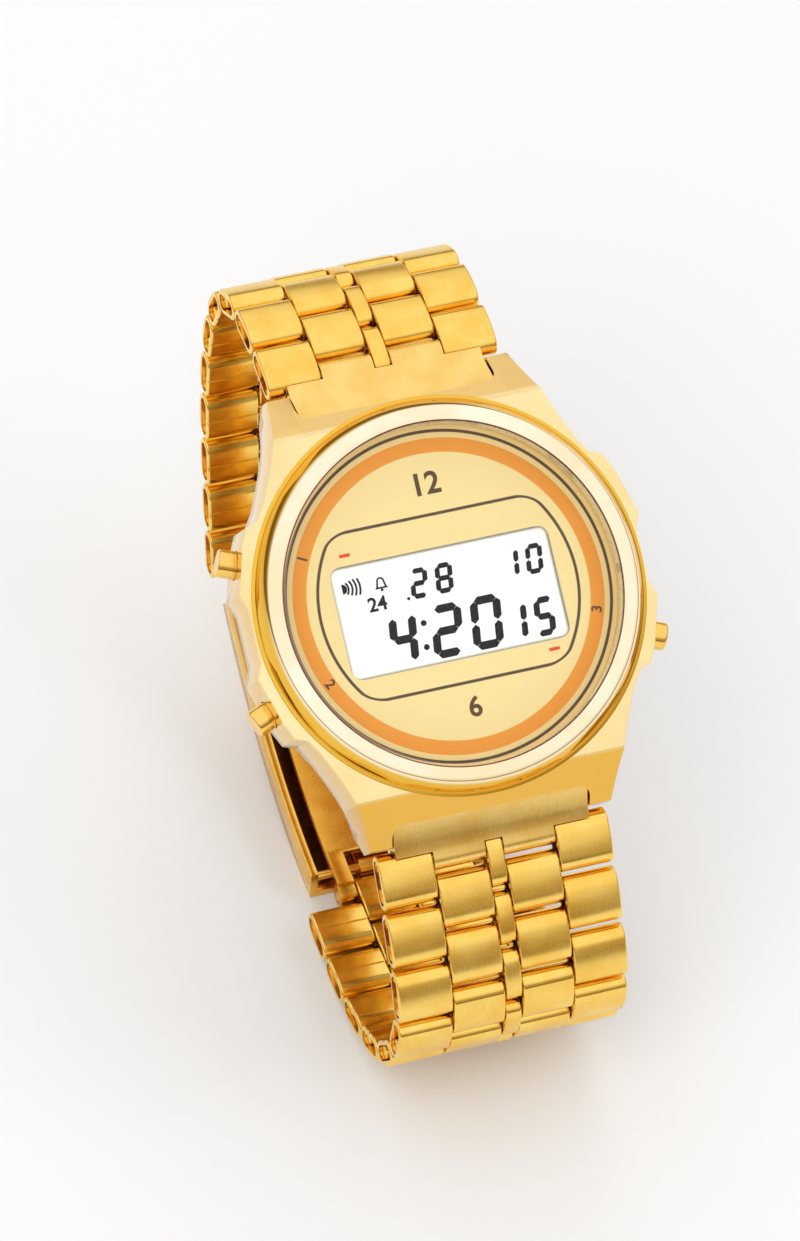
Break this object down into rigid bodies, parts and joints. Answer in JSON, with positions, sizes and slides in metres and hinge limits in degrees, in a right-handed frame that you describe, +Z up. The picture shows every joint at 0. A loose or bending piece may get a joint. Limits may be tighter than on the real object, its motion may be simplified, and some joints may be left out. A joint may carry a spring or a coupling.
{
  "type": "digital wristwatch",
  "caption": "Gold-tone digital wristwatch with a round bezel, push buttons, a folded-link bracelet and a fold-over clasp, standing closed on its bracelet.",
  "frame": {"origin": "middle of the footprint, on the surface the closed bracelet stands on", "axes": "+X from 9 o'clock to 3 o'clock, +Y towards the back, which the dial leans away from, +Z up; the dial faces -Y and up"},
  "size_m": [0.0366, 0.0596, 0.0522],
  "materials": {
    "case_gold": "polished gold-tone plating",
    "bezel_gold": "polished gold-tone plating",
    "link_gold": "satin gold-tone plating, brushed along the strap",
    "clasp_gold": "fine satin gold-tone plating",
    "blade_gold": "satin gold-tone plating",
    "pusher_gold": "polished gold-tone plating",
    "crystal_glass": "clear polished mineral glass",
    "display_glass": "pale grey display with dark digits",
    "dial_paint": "satin pale yellow print",
    "seal_rubber": "matte",
    "connector_rubber": "matte, fine stripes",
    "module_plastic": "matte black moulding",
    "board_green": "satin solder mask",
    "cell_steel": "satin",
    "back_steel": "satin, turned",
    "screw_steel": "polished",
    "pin_steel": "satin"
  },
  "bodies": {
    "head": {"case": "case_gold", "bezel": "bezel_gold", "crystal": "crystal_glass", "crystal_gasket": "seal_rubber", "dial": "dial_paint", "lcd_panel": "display_glass", "lcd_connectors": "connector_rubber", "module_frame": "module_plastic", "circuit_board": "board_green", "battery": "cell_steel", "case_back": "back_steel", "case_back_gasket": "seal_rubber", "case_back_screws": "screw_steel", "end_link_upper": "link_gold", "end_link_lower": "link_gold", "lug_spring_bars": "pin_steel"},
    "pusher_lower_right": {"pusher_lower_right": "pusher_gold"},
    "pusher_upper_left": {"pusher_upper_left": "pusher_gold"},
    "pusher_lower_left": {"pusher_lower_left": "pusher_gold"},
    "upper_row_01": {"upper_row_01": "link_gold"},
    "upper_row_02": {"upper_row_02": "link_gold"},
    "upper_row_03": {"upper_row_03": "link_gold"},
    "upper_row_04": {"upper_row_04": "link_gold"},
    "upper_row_05": {"upper_row_05": "link_gold"},
    "upper_row_06": {"upper_row_06": "link_gold"},
    "upper_row_07": {"upper_row_07": "link_gold"},
    "upper_row_08": {"upper_row_08": "link_gold"},
    "upper_row_09": {"upper_row_09": "link_gold"},
    "upper_row_10": {"upper_row_10": "link_gold"},
    "upper_row_11": {"upper_row_11": "link_gold"},
    "upper_row_12": {"upper_row_12": "link_gold"},
    "upper_row_13": {"upper_row_13": "link_gold"},
    "upper_row_14": {"upper_row_14": "link_gold"},
    "upper_row_15": {"upper_row_15": "link_gold"},
    "upper_row_16": {"upper_row_16": "link_gold"},
    "upper_row_17": {"upper_row_17": "link_gold"},
    "upper_row_18": {"upper_row_18": "link_gold"},
    "upper_row_19": {"upper_row_19": "link_gold"},
    "upper_row_20": {"upper_row_20": "link_gold"},
    "lower_row_01": {"lower_row_01": "link_gold"},
    "lower_row_02": {"lower_row_02": "link_gold"},
    "lower_row_03": {"lower_row_03": "link_gold"},
    "lower_row_04": {"lower_row_04": "link_gold"},
    "lower_row_05": {"lower_row_05": "link_gold"},
    "lower_row_06": {"lower_row_06": "link_gold"},
    "lower_row_07": {"lower_row_07": "link_gold"},
    "lower_row_08": {"lower_row_08": "link_gold"},
    "lower_row_09": {"lower_row_09": "link_gold"},
    "lower_row_10": {"lower_row_10": "link_gold"},
    "lower_row_11": {"lower_row_11": "link_gold"},
    "lower_row_12": {"lower_row_12": "link_gold"},
    "lower_row_13": {"lower_row_13": "link_gold"},
    "lower_row_14": {"lower_row_14": "link_gold"},
    "lower_row_15": {"lower_row_15": "link_gold"},
    "lower_row_16": {"lower_row_16": "link_gold"},
    "lower_row_17": {"lower_row_17": "link_gold"},
    "lower_row_18": {"lower_row_18": "link_gold"},
    "clasp_lower_blade": {"clasp_lower_blade": "blade_gold"},
    "clasp_middle_blade": {"clasp_middle_blade": "blade_gold"},
    "clasp_cover": {"clasp_cover": "clasp_gold"}
  },
  "joints": [
    {"name": "pusher_lower_right_press", "type": "slide", "parent": "head", "child": "pusher_lower_right", "axis": [-0.9336, 0.3006, 0.1952], "range_m": [0, 0.0008], "stiffness_N_per_m": 400, "springref_m": -0.0008},
    {"name": "pusher_upper_left_press", "type": "slide", "parent": "head", "child": "pusher_upper_left", "axis": [0.9336, -0.3006, -0.1952], "range_m": [0, 0.0008], "stiffness_N_per_m": 400, "springref_m": -0.0008},
    {"name": "pusher_lower_left_press", "type": "slide", "parent": "head", "child": "pusher_lower_left", "axis": [0.9336, 0.3006, 0.1952], "range_m": [0, 0.0008], "stiffness_N_per_m": 400, "springref_m": -0.0008},
    {"name": "upper_hinge_01", "type": "hinge", "parent": "head", "child": "upper_row_01", "pos_m": [0, 0.01339, 0.04871], "axis": [1, 0, 0], "range_deg": [0, 7.32]},
    {"name": "upper_hinge_02", "type": "hinge", "parent": "upper_row_01", "child": "upper_row_02", "pos_m": [0, 0.01588, 0.04898], "axis": [1, 0, 0], "range_deg": [0, 6.98]},
    {"name": "upper_hinge_03", "type": "hinge", "parent": "upper_row_02", "child": "upper_row_03", "pos_m": [0, 0.01837, 0.04896], "axis": [1, 0, 0], "range_deg": [0, 6.64]},
    {"name": "upper_hinge_04", "type": "hinge", "parent": "upper_row_03", "child": "upper_row_04", "pos_m": [0, 0.02086, 0.04868], "axis": [1, 0, 0], "range_deg": [0, 12.94]},
    {"name": "upper_hinge_05", "type": "hinge", "parent": "upper_row_04", "child": "upper_row_05", "pos_m": [0, 0.02322, 0.04787], "axis": [1, 0, 0], "range_deg": [0, 17.68]},
    {"name": "upper_hinge_06", "type": "hinge", "parent": "upper_row_05", "child": "upper_row_06", "pos_m": [0, 0.02525, 0.0464], "axis": [1, 0, 0], "range_deg": [0, 16.61]},
    {"name": "upper_hinge_07", "type": "hinge", "parent": "upper_row_06", "child": "upper_row_07", "pos_m": [0, 0.02678, 0.04443], "axis": [1, 0, 0], "range_deg": [0, 15.54]},
    {"name": "upper_hinge_08", "type": "hinge", "parent": "upper_row_07", "child": "upper_row_08", "pos_m": [0, 0.02775, 0.04212], "axis": [1, 0, 0], "range_deg": [0, 9.39]},
    {"name": "upper_hinge_09", "type": "hinge", "parent": "upper_row_08", "child": "upper_row_09", "pos_m": [0, 0.02835, 0.0397], "axis": [1, 0, 0], "range_deg": [0, 8.71]},
    {"name": "upper_hinge_10", "type": "hinge", "parent": "upper_row_09", "child": "upper_row_10", "pos_m": [0, 0.0286, 0.03721], "axis": [1, 0, 0], "range_deg": [0, 4.8]},
    {"name": "upper_hinge_11", "type": "hinge", "parent": "upper_row_10", "child": "upper_row_11", "pos_m": [0, 0.02866, 0.03471], "axis": [1, 0, 0], "range_deg": [0, 4.42]},
    {"name": "upper_hinge_12", "type": "hinge", "parent": "upper_row_11", "child": "upper_row_12", "pos_m": [0, 0.02855, 0.03221], "axis": [1, 0, 0], "range_deg": [0, 4.03]},
    {"name": "upper_hinge_13", "type": "hinge", "parent": "upper_row_12", "child": "upper_row_13", "pos_m": [0, 0.02828, 0.02973], "axis": [1, 0, 0], "range_deg": [0, 3.64]},
    {"name": "upper_hinge_14", "type": "hinge", "parent": "upper_row_13", "child": "upper_row_14", "pos_m": [0, 0.02788, 0.02726], "axis": [1, 0, 0], "range_deg": [0, 2.22]},
    {"name": "upper_hinge_15", "type": "hinge", "parent": "upper_row_14", "child": "upper_row_15", "pos_m": [0, 0.02741, 0.0248], "axis": [1, 0, 0], "range_deg": [0, 1.98]},
    {"name": "upper_hinge_16", "type": "hinge", "parent": "upper_row_15", "child": "upper_row_16", "pos_m": [0, 0.02687, 0.02236], "axis": [1, 0, 0], "range_deg": [0, 1.73]},
    {"name": "upper_hinge_17", "type": "hinge", "parent": "upper_row_16", "child": "upper_row_17", "pos_m": [0, 0.02628, 0.01993], "axis": [1, 0, 0], "range_deg": [0, 1.49]},
    {"name": "upper_hinge_18", "type": "hinge", "parent": "upper_row_17", "child": "upper_row_18", "pos_m": [0, 0.02565, 0.01751], "axis": [1, 0, 0], "range_deg": [0, 1.25]},
    {"name": "upper_hinge_19", "type": "hinge", "parent": "upper_row_18", "child": "upper_row_19", "pos_m": [0, 0.02499, 0.0151], "axis": [1, 0, 0], "range_deg": [0, 1]},
    {"name": "upper_hinge_20", "type": "hinge", "parent": "upper_row_19", "child": "upper_row_20", "pos_m": [0, 0.02431, 0.0127], "axis": [1, 0, 0], "range_deg": [0, 0.762]},
    {"name": "lower_hinge_01", "type": "hinge", "parent": "head", "child": "lower_row_01", "pos_m": [0, -0.021, 0.02638], "axis": [-1, 0, 0], "range_deg": [0, 3.01]},
    {"name": "lower_hinge_02", "type": "hinge", "parent": "lower_row_01", "child": "lower_row_02", "pos_m": [0, -0.02268, 0.02454], "axis": [-1, 0, 0], "range_deg": [0, 3.01]},
    {"name": "lower_hinge_03", "type": "hinge", "parent": "lower_row_02", "child": "lower_row_03", "pos_m": [0, -0.02429, 0.02262], "axis": [-1, 0, 0], "range_deg": [0, 3.01]},
    {"name": "lower_hinge_04", "type": "hinge", "parent": "lower_row_03", "child": "lower_row_04", "pos_m": [0, -0.02581, 0.02064], "axis": [-1, 0, 0], "range_deg": [0, 3.01]},
    {"name": "lower_hinge_05", "type": "hinge", "parent": "lower_row_04", "child": "lower_row_05", "pos_m": [0, -0.02724, 0.01859], "axis": [-1, 0, 0], "range_deg": [0, 9.12]},
    {"name": "lower_hinge_06", "type": "hinge", "parent": "lower_row_05", "child": "lower_row_06", "pos_m": [0, -0.02835, 0.01635], "axis": [-1, 0, 0], "range_deg": [0, 17.73]},
    {"name": "lower_hinge_07", "type": "hinge", "parent": "lower_row_06", "child": "lower_row_07", "pos_m": [0, -0.02875, 0.01388], "axis": [-1, 0, 0], "range_deg": [0, 17.73]},
    {"name": "lower_hinge_08", "type": "hinge", "parent": "lower_row_07", "child": "lower_row_08", "pos_m": [0, -0.02839, 0.0114], "axis": [-1, 0, 0], "range_deg": [0, 17.73]},
    {"name": "lower_hinge_09", "type": "hinge", "parent": "lower_row_08", "child": "lower_row_09", "pos_m": [0, -0.02732, 0.00914], "axis": [-1, 0, 0], "range_deg": [0, 11.27]},
    {"name": "lower_hinge_10", "type": "hinge", "parent": "lower_row_09", "child": "lower_row_10", "pos_m": [0, -0.02585, 0.00712], "axis": [-1, 0, 0], "range_deg": [0, 11.27]},
    {"name": "lower_hinge_11", "type": "hinge", "parent": "lower_row_10", "child": "lower_row_11", "pos_m": [0, -0.02402, 0.00542], "axis": [-1, 0, 0], "range_deg": [0, 11.27]},
    {"name": "lower_hinge_12", "type": "hinge", "parent": "lower_row_11", "child": "lower_row_12", "pos_m": [0, -0.02191, 0.00408], "axis": [-1, 0, 0], "range_deg": [0, 6.96]},
    {"name": "lower_hinge_13", "type": "hinge", "parent": "lower_row_12", "child": "lower_row_13", "pos_m": [0, -0.01966, 0.00299], "axis": [-1, 0, 0], "range_deg": [0, 6.96]},
    {"name": "lower_hinge_14", "type": "hinge", "parent": "lower_row_13", "child": "lower_row_14", "pos_m": [0, -0.0173, 0.00216], "axis": [-1, 0, 0], "range_deg": [0, 6.96]},
    {"name": "lower_hinge_15", "type": "hinge", "parent": "lower_row_14", "child": "lower_row_15", "pos_m": [0, -0.01486, 0.0016], "axis": [-1, 0, 0], "range_deg": [0, 6.96]},
    {"name": "lower_hinge_16", "type": "hinge", "parent": "lower_row_15", "child": "lower_row_16", "pos_m": [0, -0.01238, 0.00132], "axis": [-1, 0, 0], "range_deg": [0, 6.96]},
    {"name": "lower_hinge_17", "type": "hinge", "parent": "lower_row_16", "child": "lower_row_17", "pos_m": [0, -0.00988, 0.00132], "axis": [-1, 0, 0], "range_deg": [0, 0.5]},
    {"name": "lower_hinge_18", "type": "hinge", "parent": "lower_row_17", "child": "lower_row_18", "pos_m": [0, -0.00738, 0.00132], "axis": [-1, 0, 0], "range_deg": [0, 0.5]},
    {"name": "clasp_strap_hinge", "type": "hinge", "parent": "lower_row_18", "child": "clasp_lower_blade", "pos_m": [0, -0.00488, 0.00132], "axis": [-1, 0, 0], "range_deg": [0, 4.43]},
    {"name": "clasp_far_hinge", "type": "hinge", "parent": "clasp_lower_blade", "child": "clasp_middle_blade", "pos_m": [0, 0.02157, 0.00915], "axis": [1, 0, 0], "range_deg": [0, 115]},
    {"name": "clasp_cover_hinge", "type": "hinge", "parent": "clasp_middle_blade", "child": "clasp_cover", "pos_m": [0, -0.00255, 0.00155], "axis": [-1, 0, 0], "range_deg": [0, 115.01]}
  ],
  "couplings": [
    {"joint": "clasp_cover_hinge", "follows": "clasp_far_hinge", "ratio": 1}
  ]
}
